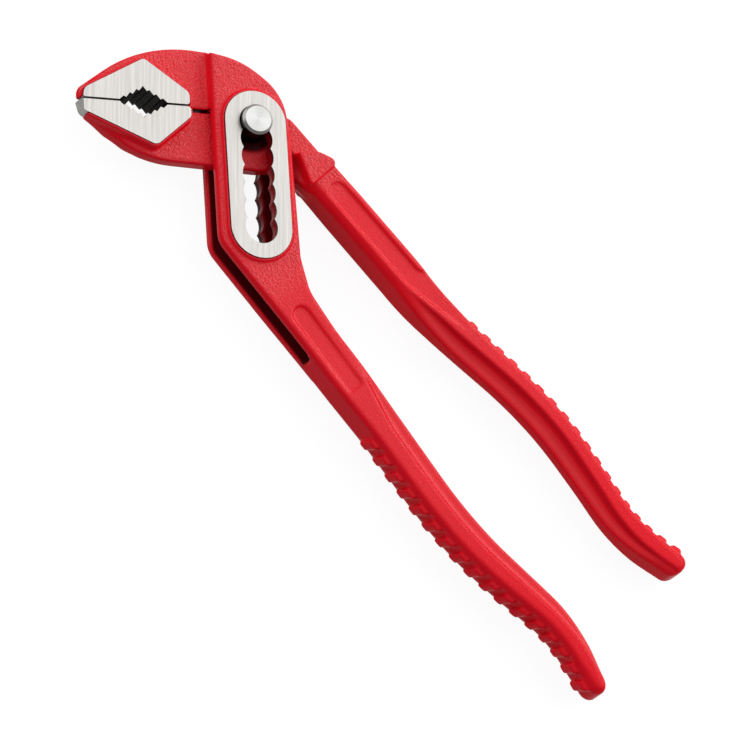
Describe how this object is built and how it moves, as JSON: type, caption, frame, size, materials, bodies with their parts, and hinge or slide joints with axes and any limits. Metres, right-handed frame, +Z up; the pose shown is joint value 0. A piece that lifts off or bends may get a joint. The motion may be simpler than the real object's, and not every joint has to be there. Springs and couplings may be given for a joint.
{
  "type": "water pump pliers",
  "caption": "Water pump pliers: an inner arm passes through a box joint in a slotted arm, its pin moves along a scalloped slot; toothed jaws, ribbed curved handles.",
  "frame": {"origin": "on the ground under the middle of the tool's length and width, the tool lying face up with its jaws shut", "axes": "+X along the tool from the jaws to the handle ends, +Y towards the inner arm's handle, +Z up through the pin's front end"},
  "size_m": [0.2518, 0.0633, 0.0187],
  "materials": {
    "red_paint": "baked red paint, finely textured on the head, glossier on the handles",
    "bare_steel": "ground bare steel with a straight grain",
    "pin_steel": "turned bare steel",
    "spring_steel": "drawn spring wire"
  },
  "bodies": {
    "slotted": {"slotted_arm": "red_paint", "upper_jaw_insert": "bare_steel", "front_slot_plate": "bare_steel", "back_slot_plate": "bare_steel"},
    "pin": {"pivot_pin": "pin_steel", "pin_ring": "spring_steel"},
    "inner": {"inner_arm": "red_paint", "lower_jaw_insert": "bare_steel"}
  },
  "joints": [
    {"name": "seat_slide", "type": "slide", "parent": "slotted", "child": "pin", "axis": [0.7547, -0.6561, 0], "range_m": [0, 0.0354]},
    {"name": "arm_hinge", "type": "hinge", "parent": "pin", "child": "inner", "pos_m": [-0.08165, 0.0127, 0.008], "axis": [0, 0, 1], "range_deg": [0, 30]}
  ]
}
